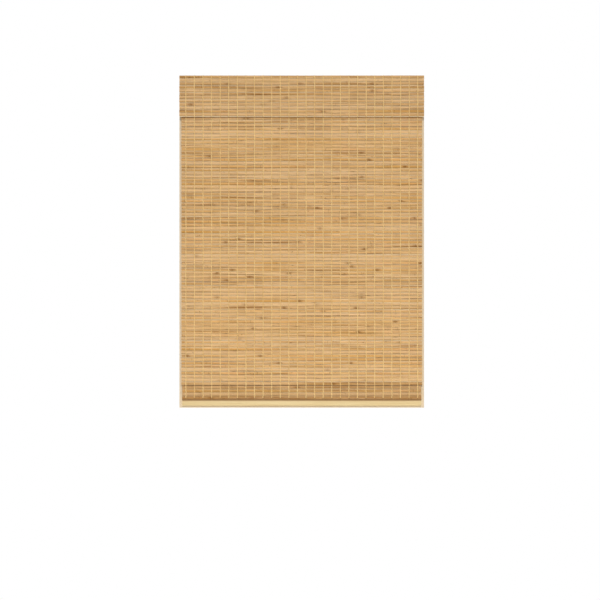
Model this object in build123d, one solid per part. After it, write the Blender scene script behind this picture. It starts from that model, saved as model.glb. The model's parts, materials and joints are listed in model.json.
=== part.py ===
from build123d import *
import math
import os

# A cordless woven bamboo roman shade, fully lowered, in millimetres.
# X runs along the shade, the room side is -Y and +Z is up.
# The origin is the centre of the bracket screw holes, on the brackets' top face.

# Widths of the hanging layers
valance_width = 880.0
mat_width = 866.0
hem_width = 861.0
liner_width = 882.0
rail_width = 860.0
batten_width = 860.0

# Woven bamboo: a flat slat and a thin reed in each row, tied between front and back warp threads
row_pitch = 12.4
slat_height = 9.2
slat_edge = 1.0
slat_crown = 0.6
slat_bevel = 1.8
reed_height = 2.2
reed_edge = 0.7
reed_crown = 0.5
reed_bevel = 0.5
warp_pitch = 30.9
warp_width = 3.0
warp_thickness = 0.4
valance_rows = 12
top_rows = 18
pleats = 6
rows_per_pleat = 12
hem_rows = 4
weave_top = -3.0
hem_gap = 1.2

# Headrail: a roll-formed steel channel, open at the top between two lips
headrail_length = 870.0
headrail_depth = 40.0
headrail_height = 26.0
headrail_wall = 1.0
headrail_bend = 1.5
lip_width = 7.0

# Brackets that hold the headrail by its lips
bracket_offset = 270.0
bracket_length = 40.0
bracket_plate = 1.5
bracket_corner = 4.0
screw_spacing = 12.0
screw_hole_radius = 2.25
hook_width = 8.0
hook_offset = 12.0
hook_thickness = 1.2
hook_toe = 4.5
hook_clearance = 0.3

# End caps
cap_thickness = 2.0
cap_plug_depth = 10.0
cap_plug_wall = 1.6
cap_clearance = 0.3
cap_edge = 0.7

# Layers in front of the headrail, from back to front
tape_thickness = 2.0
tape_height = 18.0
liner_thickness = 0.6
batten_thickness = 8.0
batten_height = 25.0
batten_round = 1.5
valance_batten_thickness = 4.0
liner_top = -5.0
liner_drop_below_rail = 7.0

# Bottom rail, behind the hem
rail_height = 38.0
rail_showing = 22.0
rail_round = 3.0

# Lift cords, rings and anchors
cord_radius = 0.6
cord_spacing = 330.0
cord_from_liner = 9.5
ring_section = 0.9
ring_radius = 5.6
ring_tab_width = 5.0
ring_tab_height = 7.0
ring_tab_thickness = 1.4
ring_tab_sink = 0.4
anchor_flange_radius = 7.0
anchor_flange_thickness = 2.0
anchor_neck_radius = 2.5
anchor_lug_radius = 3.4
anchor_lug_height = 7.0
anchor_hole_clearance = 0.15
bead_radius = 1.5
bead_length = 3.0
bead_clearance = 0.3

# Cord guides and pulleys inside the headrail
wrap_clearance = 0.3
pulley_cord_radius = 5.0
pulley_flange = 1.6
pulley_width = 3.6
pulley_side_play = 0.2
pin_radius = 1.0
pin_clearance = 0.05
guide_base = 1.5
guide_half_length = 13.0
guide_cheek = 1.6
guide_cheek_radius = 4.5
guide_snout_radius = 3.0
guide_snout_length = 2.5
guide_bore_radius = 1.6
snout_clearance = 0.2
groove_height = 3.6
upper_cord_height = -7.6
lower_cord_height = -12.2

# Spring motor: four equal geared drums in a row
motor_centre = 165.0
gear_module = 1.25
gear_teeth = 24
gear_width = 4.0
gear_backlash = 0.3
gear_addendum = 1.1
gear_dedendum = 1.56
pressure_angle = 20.0
drum_flange_gap = 1.6
drum_flange = 1.0
drum_neck_radius = 7.0
storage_hub_radius = 6.0
output_hub_radius = 9.0
axle_radius = 2.5
axle_clearance = 0.05
drum_end_play = 0.3
motor_wall = 1.6
motor_floor = 1.5
motor_gap = 0.9
motor_side_gap = 0.4
cover_thickness = 1.4
cover_gap = 0.3
cover_screw_inset = 3.2
cover_screw_head = 2.0
cover_screw_shank = 0.95
cover_screw_length = 9.0
cover_screw_recess = 1.0
recess_width = 0.6
recess_length = 2.4
cover_boss_radius = 2.4
spring_inset = 1.2
spring_strip = 0.4
spring_play = 0.2

# Places that follow from the sizes above
headrail_top = -bracket_plate
headrail_bottom = headrail_top - headrail_height
channel_floor = headrail_bottom + headrail_wall
lip_underside = headrail_top - headrail_wall
headrail_front = -headrail_depth / 2
inner_half_depth = headrail_depth / 2 - headrail_wall
lip_edge = headrail_depth / 2 - lip_width
bend_relief = headrail_bend - headrail_wall / 2

row_gap = (row_pitch - slat_height - reed_height) / 2
slat_thickness = slat_edge + slat_crown
reed_thickness = reed_edge + reed_crown
weave_thickness = slat_thickness + 2 * warp_thickness

liner_back = headrail_front - tape_thickness
liner_front = liner_back - liner_thickness
mat_back = liner_front - batten_thickness
mat_front = mat_back - weave_thickness
valance_back = mat_front - valance_batten_thickness

mat_rows = top_rows + pleats * rows_per_pleat
fold_pitch = rows_per_pleat * row_pitch
pleat_top = weave_top - top_rows * row_pitch
hem_line = pleat_top - pleats * fold_pitch
hem_top = hem_line - hem_gap
hem_bottom = hem_top - hem_rows * row_pitch
rail_bottom = hem_bottom - rail_showing
rail_top = rail_bottom + rail_height
liner_bottom = rail_bottom - liner_drop_below_rail

cord_y = liner_back + cord_from_liner
cord_places = {"left": -cord_spacing, "centre": 0.0, "right": cord_spacing}
anchor_height = (rail_top + rail_bottom) / 2

gear_pitch_radius = gear_module * gear_teeth / 2
drum_spacing = 2 * gear_pitch_radius
drum_flange_radius = (drum_spacing - drum_flange_gap) / 2
drum_bore = axle_radius + axle_clearance
spring_coil_radius = drum_flange_radius - spring_inset
motor_inner_half_depth = gear_pitch_radius + gear_addendum + motor_gap
motor_half_length = 1.5 * drum_spacing + motor_inner_half_depth
motor_outer_half_depth = inner_half_depth - motor_side_gap
axle_y = motor_wall + motor_inner_half_depth - motor_outer_half_depth
motor_top = lip_underside - cover_gap - cover_thickness
drum_places = [motor_centre + (i - 1.5) * drum_spacing for i in range(4)]
gear_bottom = channel_floor + motor_floor + drum_end_play
gear_top = gear_bottom + gear_width
drum_top = upper_cord_height + groove_height / 2 + drum_flange
drum_bottom = lower_cord_height - groove_height / 2 - drum_flange
spool_radius = axle_y - cord_y - cord_radius - wrap_clearance
drum_of_cord = {"left": 0, "centre": 0, "right": 3}
height_of_cord = {
    "left": upper_cord_height,
    "centre": lower_cord_height,
    "right": upper_cord_height,
}


def block(x, y, z):
    """A box between two values along each axis."""
    size = (x[1] - x[0], y[1] - y[0], z[1] - z[0])
    centre = ((x[0] + x[1]) / 2, (y[0] + y[1]) / 2, (z[0] + z[1]) / 2)
    return Pos(*centre) * Box(*size)


def upright(radius, x, y, z):
    """A round bar along Z between two heights."""
    return Pos(x, y, (z[0] + z[1]) / 2) * Cylinder(radius, z[1] - z[0])


def crossbar(radius, x, y, z):
    """A round bar along Y between two depths."""
    place = Pos(x, (y[0] + y[1]) / 2, z)
    return place * Rot(90, 0, 0) * Cylinder(radius, y[1] - y[0])


def along_x(section, x):
    """Runs a section drawn in Y and Z from one X to another."""
    return extrude(Plane.YZ.offset(x[0]) * section, amount=x[1] - x[0])


def turned(outline, x, y=0.0):
    """Turns an outline of (radius, height) points about a vertical line."""
    section = Plane.XZ * make_face(Polyline(*outline, close=True))
    return Pos(x, y, 0) * revolve(section, Axis.Z)


def rounded_bar(width, y, z, radius, edges="all"):
    """A wooden bar along X with its long edges rounded."""
    bar = block((-width / 2, width / 2), y, z)
    long_edges = bar.edges().filter_by(Axis.X)
    if edges == "bottom":
        long_edges = long_edges.group_by(Axis.Z)[0]
    return fillet(long_edges, min(radius, 0.45 * (y[1] - y[0])))


# Headrail and its ends


def headrail():
    half = headrail_depth / 2 - headrail_wall / 2
    top = headrail_top - headrail_wall / 2
    bottom = headrail_bottom + headrail_wall / 2
    path = FilletPolyline(
        (-lip_edge, top),
        (-half, top),
        (-half, bottom),
        (half, bottom),
        (half, top),
        (lip_edge, top),
        radius=headrail_bend,
    )
    section = trace(path, line_width=headrail_wall)
    channel = along_x(section, (-headrail_length / 2, headrail_length / 2))
    hole = guide_snout_radius + snout_clearance
    for x in cord_places.values():
        channel -= upright(hole, x, cord_y, (headrail_bottom - 1, channel_floor + 1))
    return channel


def end_cap(side):
    face = side * headrail_length / 2
    plate = Rectangle(headrail_depth, headrail_height)
    plate = fillet(plate.vertices(), headrail_bend + headrail_wall / 2)
    middle = (headrail_top + headrail_bottom) / 2
    outer = Rectangle(
        2 * (inner_half_depth - cap_clearance),
        lip_underside - channel_floor - 2 * cap_clearance,
    )
    inner = offset(outer, -cap_plug_wall, kind=Kind.INTERSECTION)
    plug_middle = (lip_underside + channel_floor) / 2
    out = sorted((face, face + side * cap_thickness))
    into = sorted((face, face - side * cap_plug_depth))
    cap = along_x(Pos(0, middle) * plate, out)
    outermost = -1 if side > 0 else 0
    cap = chamfer(cap.faces().sort_by(Axis.X)[outermost].edges(), cap_edge)
    return cap + along_x(Pos(0, plug_middle) * (outer - inner), into)


def mounting_bracket(side):
    x = side * bracket_offset
    plate = Rectangle(bracket_length, headrail_depth)
    plate = fillet(plate.vertices(), bracket_corner)
    leg = lip_edge - hook_clearance
    window = leg - hook_thickness
    toe_bottom = lip_underside - hook_thickness
    for along in (-hook_offset, hook_offset):
        for front in (-1, 1):
            depth = hook_toe + hook_clearance
            place = Pos(along, front * (window - depth / 2))
            plate -= place * Rectangle(hook_width, depth)
    for y in (-screw_spacing / 2, screw_spacing / 2):
        plate -= Pos(0, y) * Circle(screw_hole_radius)
    bracket = extrude(Pos(x, 0, -bracket_plate) * plate, amount=bracket_plate)
    hook = Polyline(
        (window, 0),
        (leg, 0),
        (leg, lip_underside),
        (leg + hook_toe, lip_underside),
        (leg + hook_toe - hook_thickness, toe_bottom),
        (window, toe_bottom),
        close=True,
    )
    rear = make_face(hook)
    front = mirror(rear, Plane.YZ)
    for along in (-hook_offset, hook_offset):
        span = (x + along - hook_width / 2, x + along + hook_width / 2)
        bracket += along_x(rear, span)
        bracket += along_x(front, span)
    return bracket


# Woven bamboo


def strips(width, height, edge, crown, bevel, back, middles):
    """Planed bamboo strips with a flat back and a bevelled front, at the given heights."""
    half = height / 2
    shoulder = back - edge
    crest = shoulder - crown
    outline = Polyline(
        (back, -half),
        (back, half),
        (shoulder, half),
        (crest, half - bevel),
        (crest, bevel - half),
        (shoulder, -half),
        close=True,
    )
    strip = along_x(make_face(outline), (-width / 2, width / 2))
    return Compound([Pos(0, 0, z) * strip for z in middles])


def slats(width, top, rows, back):
    """The flat slat at the top of each row."""
    first = top - row_gap / 2 - slat_height / 2
    middles = [first - row_pitch * row for row in range(rows)]
    face = back - warp_thickness
    return strips(width, slat_height, slat_edge, slat_crown, slat_bevel, face, middles)


def reeds(width, top, rows, back):
    """The thin reed under each slat, halfway through the weave's thickness."""
    first = top - row_pitch + row_gap / 2 + reed_height / 2
    middles = [first - row_pitch * row for row in range(rows)]
    face = back - warp_thickness - (slat_thickness - reed_thickness) / 2
    return strips(width, reed_height, reed_edge, reed_crown, reed_bevel, face, middles)


def warp_threads(width, top, bottom, back):
    """Pairs of warp threads, one behind the slats and one in front of them."""
    columns = int((width - warp_width) / 2 / warp_pitch + 0.5)
    front = back - weave_thickness
    threads = []
    for i in range(-columns, columns):
        middle = (i + 0.5) * warp_pitch
        x = (middle - warp_width / 2, middle + warp_width / 2)
        for y in ((back - warp_thickness, back), (front, front + warp_thickness)):
            threads.append(block(x, y, (bottom, top)))
    return Compound(threads)


# Liner, battens and rail


def hook_tape():
    middle = (headrail_top + headrail_bottom) / 2
    height = (middle - tape_height / 2, middle + tape_height / 2)
    width = (-batten_width / 2, batten_width / 2)
    return block(width, (liner_back, headrail_front), height)


def batten(back, thickness):
    height = (weave_top - batten_height, weave_top)
    return rounded_bar(batten_width, (back - thickness, back), height, batten_round)


def bottom_rail():
    height = (rail_bottom, rail_top)
    return rounded_bar(rail_width, (mat_back, liner_front), height, rail_round, "bottom")


def liner():
    half = liner_width / 2
    sheet = block((-half, half), (liner_front, liner_back), (liner_bottom, liner_top))
    for x in cord_places.values():
        depth = (liner_front - 1, liner_back + 1)
        sheet -= crossbar(anchor_neck_radius + 0.3, x, depth, anchor_height)
    return sheet


# Rings, anchors and lift cords


def ring_row(row):
    """Sewn rings behind the liner, each with a flat sewing tab."""
    height = pleat_top - row * fold_pitch
    tab_back = liner_back + ring_tab_thickness
    outer = ring_radius + ring_section
    centre = tab_back - ring_tab_sink + outer
    section = [
        (ring_radius - ring_section, height - ring_section),
        (outer, height - ring_section),
        (outer, height + ring_section),
        (ring_radius - ring_section, height + ring_section),
    ]
    rings = []
    for x in cord_places.values():
        ring = turned(section, x, centre)
        tab = block(
            (x - ring_tab_width / 2, x + ring_tab_width / 2),
            (liner_back, tab_back),
            (height - ring_tab_height / 2, height + ring_tab_height / 2),
        )
        rings.append(ring + tab)
    return Compound([ring.solid() for ring in rings])


def cord_anchors():
    """Riveted lugs on the rail's back that hold the beads on the cords' ends."""
    anchors = []
    low = anchor_height - anchor_lug_height / 2
    high = anchor_height + anchor_lug_height / 2
    flange_back = liner_back + anchor_flange_thickness
    for x in cord_places.values():
        anchor = crossbar(anchor_flange_radius, x, (liner_back, flange_back), anchor_height)
        anchor += crossbar(anchor_neck_radius, x, (liner_front, flange_back), anchor_height)
        sides = (x - anchor_lug_radius, x + anchor_lug_radius)
        anchor += block(sides, (liner_back, cord_y), (low, high))
        anchor += upright(anchor_lug_radius, x, cord_y, (low, high))
        hole = cord_radius + anchor_hole_clearance
        anchor -= upright(hole, x, cord_y, (low - 1, high + 1))
        pocket = bead_radius + bead_clearance
        anchor -= upright(pocket, x, cord_y, (low - 1, anchor_height))
        anchors.append(anchor.solid())
    return Compound(anchors)


def lift_cord(name):
    """A cord from its end bead, up through the rings and over its pulley to its drum."""
    x = cord_places[name]
    level = height_of_cord[name]
    pulley_x, pulley_z = pulley_centre(name)
    bead_top = anchor_height - bead_clearance
    bend = math.sin(math.radians(45))
    over = (pulley_x + (x - pulley_x) * bend, cord_y, pulley_z + pulley_cord_radius * bend)
    rise = Line((x, cord_y, bead_top - bead_length / 2), (x, cord_y, pulley_z))
    turn = ThreePointArc(rise @ 1, over, (pulley_x, cord_y, level))
    run = Line(turn @ 1, (drum_places[drum_of_cord[name]], cord_y, level))
    path = Wire([rise, turn, run])
    section = Plane(origin=rise @ 0, z_dir=(0, 0, 1)) * Circle(cord_radius)
    cord = sweep(section, path)
    print(name, "cord length", round(path.length, 1), "volume over section times length",
          round(cord.volume / (path.length * math.pi * cord_radius**2), 4))
    return cord + upright(bead_radius, x, cord_y, (bead_top - bead_length, bead_top))


# Cord guides and pulleys


def pulley_centre(name):
    way = 1 if drum_places[drum_of_cord[name]] > cord_places[name] else -1
    x = cord_places[name] + way * pulley_cord_radius
    return x, height_of_cord[name] - pulley_cord_radius


def cord_guide(name):
    """A moulded guide: a snout through the channel floor and two cheeks for the pulley."""
    x, pin_height = pulley_centre(name)
    hole = cord_places[name]
    base_top = channel_floor + guide_base
    side = inner_half_depth - motor_side_gap
    span = (x - guide_half_length, x + guide_half_length)
    guide = block(span, (-side, side), (channel_floor, base_top))
    guide = fillet(guide.edges().filter_by(Axis.Z), guide_cheek)
    guide = chamfer(guide.edges().filter_by(Axis.X).group_by(Axis.Z)[0], bend_relief)
    snout = (headrail_bottom - guide_snout_length, channel_floor)
    guide += upright(guide_snout_radius, hole, cord_y, snout)
    inner = pulley_width / 2 + pulley_side_play
    cheek = Pos(x, pin_height) * Circle(guide_cheek_radius)
    cheek += make_face(
        Polyline(
            (x - 1.6 * guide_cheek_radius, channel_floor),
            (x - guide_cheek_radius, pin_height),
            (x + guide_cheek_radius, pin_height),
            (x + 1.6 * guide_cheek_radius, channel_floor),
            close=True,
        )
    )
    for y in (cord_y - inner, cord_y + inner + guide_cheek):
        guide += extrude(Plane.XZ.offset(-y) * cheek, amount=guide_cheek)
    guide -= upright(guide_bore_radius, hole, cord_y, (snout[0] - 1, base_top + 1))
    reach = inner + guide_cheek + 1
    guide -= crossbar(pin_radius, x, (cord_y - reach, cord_y + reach), pin_height)
    return guide


def pulley_pins():
    reach = pulley_width / 2 + pulley_side_play + guide_cheek
    pins = []
    for name in cord_places:
        x, height = pulley_centre(name)
        pins.append(crossbar(pin_radius, x, (cord_y - reach, cord_y + reach), height))
    return Compound(pins)


def pulley(name):
    """A grooved wheel on a horizontal pin."""
    x, height = pulley_centre(name)
    groove = pulley_cord_radius - cord_radius - wrap_clearance
    rim = groove + pulley_flange
    half = pulley_width / 2
    floor = cord_radius + wrap_clearance / 2
    bore = pin_radius + pin_clearance
    outline = [
        (bore, -half),
        (rim, -half),
        (groove, -floor),
        (groove, floor),
        (rim, half),
        (bore, half),
    ]
    return Pos(x, cord_y, height) * Rot(90, 0, 0) * turned(outline, 0)


# Spring motor


def gear_outline(turn):
    """Involute teeth with short chords for flanks, turned by a given angle."""
    base = gear_pitch_radius * math.cos(math.radians(pressure_angle))
    tip = gear_pitch_radius + gear_addendum
    root = gear_pitch_radius - gear_dedendum
    middle = (base + tip) / 2

    def involute(radius):
        angle = math.acos(min(1.0, base / radius))
        return math.tan(angle) - angle

    thickness = math.pi * gear_module / 2 - gear_backlash / 2
    at_pitch = thickness / 2 / gear_pitch_radius
    flank = [
        (radius, at_pitch + involute(gear_pitch_radius) - involute(radius))
        for radius in (root, middle, tip)
    ]
    points = []
    for tooth in range(gear_teeth):
        centre = 2 * math.pi * tooth / gear_teeth + turn
        leading = [(radius, centre - half) for radius, half in flank]
        trailing = [(radius, centre + half) for radius, half in reversed(flank)]
        for radius, angle in leading + trailing:
            points.append((radius * math.cos(angle), radius * math.sin(angle)))
    return make_face(Polyline(*points, close=True))


def geared_drum(place, outline):
    """A drum whose gear meshes with its neighbours': every second one is turned half a tooth."""
    x = drum_places[place]
    turn = math.pi / gear_teeth if place % 2 else 0.0
    gear = extrude(Pos(x, axle_y, gear_bottom) * gear_outline(turn), amount=gear_width)
    gear -= upright(drum_bore, x, axle_y, (gear_bottom - 1, gear_top + 1))
    return gear + turned(outline, x, axle_y)


def cord_spool(place):
    """A drum with two grooves, one above the other, for up to two cords."""
    rim = drum_flange_radius
    groove = spool_radius
    outline = [
        (drum_bore, gear_top - drum_flange / 2),
        (drum_neck_radius, gear_top - drum_flange / 2),
        (drum_neck_radius, drum_bottom),
        (rim, drum_bottom),
        (rim, drum_bottom + drum_flange),
        (groove, drum_bottom + drum_flange),
        (groove, lower_cord_height + groove_height / 2),
        (rim, lower_cord_height + groove_height / 2),
        (rim, upper_cord_height - groove_height / 2),
        (groove, upper_cord_height - groove_height / 2),
        (groove, drum_top - drum_flange),
        (rim, drum_top - drum_flange),
        (rim, drum_top),
        (drum_bore, drum_top),
    ]
    return geared_drum(place, outline)


def spring_drum(place, hub):
    """A flanged drum for the power spring."""
    rim = drum_flange_radius
    outline = [
        (drum_bore, gear_top - drum_flange / 2),
        (drum_neck_radius, gear_top - drum_flange / 2),
        (drum_neck_radius, drum_bottom),
        (rim, drum_bottom),
        (rim, drum_bottom + drum_flange),
        (hub, drum_bottom + drum_flange),
        (hub, drum_top - drum_flange),
        (rim, drum_top - drum_flange),
        (rim, drum_top),
        (drum_bore, drum_top),
    ]
    return geared_drum(place, outline)


def power_spring():
    """Flat spring strip: a coil on the storage drum, crossing over to the output drum."""
    storage, output = drum_places[1], drum_places[2]
    low = drum_bottom + drum_flange + spring_play
    high = drum_top - drum_flange - spring_play
    coil = Circle(spring_coil_radius) - Circle(storage_hub_radius + spring_play)
    lap_inner = output_hub_radius + spring_play
    lap_outer = lap_inner + spring_strip
    lap = Circle(lap_outer) - Circle(lap_inner)
    first = spring_coil_radius - spring_strip / 2
    second = lap_outer - spring_strip / 2
    tilt = math.acos((first + second) / drum_spacing)
    start = (storage + first * math.cos(tilt), first * math.sin(tilt))
    end = (output - second * math.cos(tilt), -second * math.sin(tilt))
    strip = trace(Line(start, end), line_width=spring_strip)
    outline = Pos(storage, 0) * coil + Pos(output, 0) * lap + strip
    return extrude(Pos(0, axle_y, low) * outline, amount=high - low)


def cover_screw_places():
    y = motor_outer_half_depth - cover_screw_inset
    along = (motor_centre - drum_spacing, motor_centre + drum_spacing)
    return [(x, side * y) for x in along for side in (-1, 1)]


def screw_body(x, y):
    """The room a countersunk screw takes, flush with the cover."""
    top = motor_top + cover_thickness
    neck = top - cover_screw_head + cover_screw_shank
    outline = [
        (0, top),
        (cover_screw_head, top),
        (cover_screw_shank, neck),
        (cover_screw_shank, top - cover_screw_length),
        (0, top - cover_screw_length),
    ]
    return turned(outline, x, y)


def cover_screw(x, y):
    """A screw with a cross recess for the driver."""
    top = motor_top + cover_thickness
    screw = screw_body(x, y)
    reach, half = recess_length / 2, recess_width / 2
    for i, j in ((reach, half), (half, reach)):
        screw -= block((x - i, x + i), (y - j, y + j), (top - cover_screw_recess, top + 1))
    return screw


def motor_base():
    """An open tray with an axle for each drum and notches for the cords."""
    outer = motor_outer_half_depth
    ends = (
        motor_centre - motor_half_length - motor_wall,
        motor_centre + motor_half_length + motor_wall,
    )
    tray = block(ends, (-outer, outer), (channel_floor, motor_top))
    tray = chamfer(tray.edges().filter_by(Axis.X).group_by(Axis.Z)[0], bend_relief)
    tray -= block(
        (ends[0] + motor_wall, ends[1] - motor_wall),
        (axle_y - motor_inner_half_depth, axle_y + motor_inner_half_depth),
        (channel_floor + motor_floor, motor_top + 1),
    )
    for x in drum_places:
        top = motor_top + cover_thickness / 2
        tray += upright(axle_radius, x, axle_y, (channel_floor, top))
    notch_floor = lower_cord_height - groove_height / 2
    for x in ends:
        tray -= block(
            (x - 2 * motor_wall, x + 2 * motor_wall),
            (cord_y - groove_height / 2, cord_y + groove_height / 2),
            (notch_floor, motor_top + 1),
        )
    for x, y in cover_screw_places():
        tray += upright(cover_boss_radius, x, y, (channel_floor, motor_top))
        tray -= screw_body(x, y)
    return tray


def motor_cover():
    length = 2 * (motor_half_length + motor_wall)
    plate = fillet(Rectangle(length, 2 * motor_outer_half_depth).vertices(), motor_wall / 2)
    for x in drum_places:
        plate -= Pos(x - motor_centre, axle_y) * Circle(drum_bore)
    cover = extrude(Pos(motor_centre, 0, motor_top) * plate, amount=cover_thickness)
    for x, y in cover_screw_places():
        cover -= screw_body(x, y)
    return cover


nodes = {
    "headrail": headrail(),
    "end_cap_left": end_cap(-1),
    "end_cap_right": end_cap(1),
    "mounting_bracket_left": mounting_bracket(-1),
    "mounting_bracket_right": mounting_bracket(1),
    "hook_tape": hook_tape(),
    "head_batten": batten(liner_front, batten_thickness),
    "valance_batten": batten(mat_front, valance_batten_thickness),
    "valance_slats": slats(valance_width, weave_top, valance_rows, valance_back),
    "valance_reeds": reeds(valance_width, weave_top, valance_rows, valance_back),
    "valance_warp_threads": warp_threads(
        valance_width, weave_top, weave_top - valance_rows * row_pitch, valance_back
    ),
    "mat_slats": slats(mat_width, weave_top, mat_rows, mat_back),
    "mat_reeds": reeds(mat_width, weave_top, mat_rows, mat_back),
    "mat_warp_threads": warp_threads(mat_width, weave_top, hem_line, mat_back),
    "hem_slats": slats(hem_width, hem_top, hem_rows, mat_back),
    "hem_reeds": reeds(hem_width, hem_top, hem_rows, mat_back),
    "hem_warp_threads": warp_threads(hem_width, hem_top, hem_bottom, mat_back),
    "liner": liner(),
    "bottom_rail": bottom_rail(),
    "cord_anchors": cord_anchors(),
    "pulley_pins": pulley_pins(),
    "motor_base": motor_base(),
    "motor_cover": motor_cover(),
    "motor_cover_screws": Compound([cover_screw(x, y) for x, y in cover_screw_places()]),
    "cord_spool_left": cord_spool(0),
    "spring_storage_drum": spring_drum(1, storage_hub_radius),
    "spring_output_drum": spring_drum(2, output_hub_radius),
    "cord_spool_right": cord_spool(3),
    "power_spring": power_spring(),
}
for row in range(1, pleats):
    nodes[f"ring_row_{row}"] = ring_row(row)
for name in cord_places:
    nodes[f"lift_cord_{name}"] = lift_cord(name)
    nodes[f"cord_guide_{name}"] = cord_guide(name)
    nodes[f"cord_pulley_{name}"] = pulley(name)

os.makedirs("parts", exist_ok=True)
for name, shape in nodes.items():
    export_step(shape, f"parts/{name}.step")
print(len(nodes), "nodes")
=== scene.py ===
import json
import math

import bmesh
import bpy
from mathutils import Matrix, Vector

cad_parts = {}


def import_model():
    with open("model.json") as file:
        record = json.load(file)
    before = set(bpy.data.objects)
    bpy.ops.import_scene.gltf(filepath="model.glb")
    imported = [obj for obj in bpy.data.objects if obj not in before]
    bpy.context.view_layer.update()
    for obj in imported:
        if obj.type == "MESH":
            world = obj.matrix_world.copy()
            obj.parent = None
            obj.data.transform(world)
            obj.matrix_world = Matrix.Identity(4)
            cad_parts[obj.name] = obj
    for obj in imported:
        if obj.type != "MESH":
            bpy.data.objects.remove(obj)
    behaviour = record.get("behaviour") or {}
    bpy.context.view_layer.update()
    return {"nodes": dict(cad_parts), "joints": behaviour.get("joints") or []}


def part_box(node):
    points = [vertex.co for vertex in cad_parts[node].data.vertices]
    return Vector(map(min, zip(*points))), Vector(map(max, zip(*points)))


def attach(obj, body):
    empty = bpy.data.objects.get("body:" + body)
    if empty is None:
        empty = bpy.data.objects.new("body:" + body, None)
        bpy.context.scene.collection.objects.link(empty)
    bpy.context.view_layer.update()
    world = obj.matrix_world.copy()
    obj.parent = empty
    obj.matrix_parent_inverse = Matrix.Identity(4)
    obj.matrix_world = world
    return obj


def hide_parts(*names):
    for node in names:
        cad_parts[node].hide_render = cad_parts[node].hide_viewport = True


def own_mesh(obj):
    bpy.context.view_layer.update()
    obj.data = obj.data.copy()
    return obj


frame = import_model()

# Sizes, in metres
# Woven panel: each row is a flat slat and a thin reed, tied by columns of warp thread
ROW = 0.0124
SLAT = 0.0092
REED = 0.0022
SLAT_EDGE = 0.0010
SLAT_CROWN = 0.0006
REED_EDGE = 0.0008
REED_CROWN = 0.0006
COLUMN = 0.0309
COLUMNS = 28
THREAD_RADIUS = 0.00055
THREAD_FLATNESS = 3.0
THREAD_SWING = 0.00140
THREAD_CROSSING = 0.0006
THREAD_WANDER = 0.0010
ROW_GAP = (ROW - SLAT - REED) / 2
STATIONS_PER_BAY = 3
# Joint rings along a slat, and how many spacings its tone from 0 to 1 moves them
KNOT_SPACING = 0.26
KNOT_SHIFT = 17.0
# The thickness that a closed half pleat keeps, as a share of its height
FOLD_KEEP = 0.02
# How many rows each part of the shade has, and how many pleats the mat has
VALANCE_ROWS = 12
TOP_ROWS = 18
FOLDS = 6
FOLD_ROWS = 12
HEM_ROWS = 4
# Rows are numbered from 0 down the mat, and from these numbers down the valance and the hem
VALANCE_FIRST = 200
HEM_FIRST = 300
VALANCE_END = VALANCE_FIRST + VALANCE_ROWS - 1
MAT_END = TOP_ROWS + FOLDS * FOLD_ROWS - 1
HEM_END = HEM_FIRST + HEM_ROWS - 1

# Places that the frame gives
mat_low, mat_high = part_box("mat_slats")
valance_low, valance_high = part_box("valance_slats")
hem_low, hem_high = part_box("hem_slats")
liner_low, liner_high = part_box("liner")
rail_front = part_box("bottom_rail")[0].y
weave_top = mat_high.z + ROW_GAP
hem_top = hem_high.z + ROW_GAP
hem_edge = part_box("hem_reeds")[0].z
mat_back = mat_high.y
valance_back = valance_high.y
mat_width = mat_high.x - mat_low.x
hem_width = hem_high.x - hem_low.x
valance_width = valance_high.x - valance_low.x
fold_top = weave_top - TOP_ROWS * ROW
half_fold = FOLD_ROWS * ROW / 2
lift = next(j for j in frame["joints"] if j["name"] == "lift")
travel = lift["range_m"][1]
# The share of a pleat's height that the raised rail takes up, and the slope that takes it up
gathered = travel / (2 * half_fold * FOLDS)
fold_tilt = math.acos(math.sqrt(gathered / (1 - FOLD_KEEP)))


def placed(name, data):
    """A new object of the scene, at the origin."""
    made = bpy.data.objects.new(name, data)
    bpy.context.scene.collection.objects.link(made)
    return made


# Node trees


class Number:
    """A socket that reads as a number in an expression."""

    def __init__(self, graph, socket):
        self.graph = graph
        self.socket = socket

    def __add__(self, other):
        return self.graph.maths("ADD", self, other)

    def __radd__(self, other):
        return self.graph.maths("ADD", other, self)

    def __sub__(self, other):
        return self.graph.maths("SUBTRACT", self, other)

    def __rsub__(self, other):
        return self.graph.maths("SUBTRACT", other, self)

    def __mul__(self, other):
        return self.graph.maths("MULTIPLY", self, other)

    def __rmul__(self, other):
        return self.graph.maths("MULTIPLY", other, self)

    def __truediv__(self, other):
        return self.graph.maths("DIVIDE", self, other)

    def __neg__(self):
        return self.graph.maths("MULTIPLY", self, -1.0)

    def __abs__(self):
        return self.graph.maths("ABSOLUTE", self)

    def floor(self):
        return self.graph.maths("FLOOR", self)

    def fraction(self):
        return self.graph.maths("FRACT", self)

    def sine(self):
        return self.graph.maths("SINE", self)

    def cosine(self):
        return self.graph.maths("COSINE", self)

    def clip(self, low, high):
        return self.graph.maths("MINIMUM", self.graph.maths("MAXIMUM", self, low), high)

    def power(self, exponent):
        return self.graph.maths("POWER", self, exponent)

    def ramp(self, start, end):
        """0 at start and 1 at end, with a smooth way between."""
        node = self.graph.add(
            "ShaderNodeMapRange",
            {"interpolation_type": "SMOOTHSTEP"},
            {"Value": self, "From Min": start, "From Max": end},
        )
        return Number(self.graph, node.outputs[0])


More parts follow.
